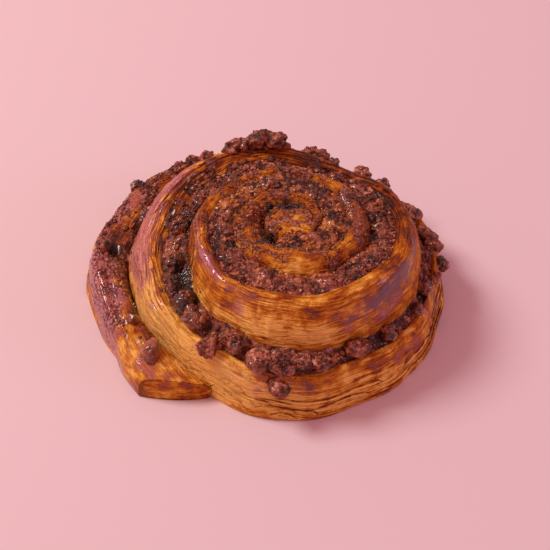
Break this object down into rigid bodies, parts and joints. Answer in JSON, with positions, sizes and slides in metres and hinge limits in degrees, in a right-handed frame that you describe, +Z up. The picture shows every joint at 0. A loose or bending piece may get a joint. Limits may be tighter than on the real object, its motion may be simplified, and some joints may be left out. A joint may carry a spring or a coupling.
{
  "type": "cinnamon roll",
  "caption": "Glazed cinnamon roll of layered dough, wound into a domed snail with a thin tail and dark crumble in its groove.",
  "frame": {"origin": "middle of the roll's box, on the surface that it rests on", "axes": "+Z up, +X to the right as the picture shows it, +Y away from the picture's camera"},
  "size_m": [0.1182, 0.1128, 0.0413],
  "materials": {
    "baked_dough": "golden to deep brown baked dough with a thin glossy glaze",
    "crumble": "rough dark cinnamon and sugar crumble, with glossy spots of melted sugar"
  },
  "bodies": {
    "root": {"dough_coil": "baked_dough", "cinnamon_crumble": "crumble"}
  },
  "joints": []
}
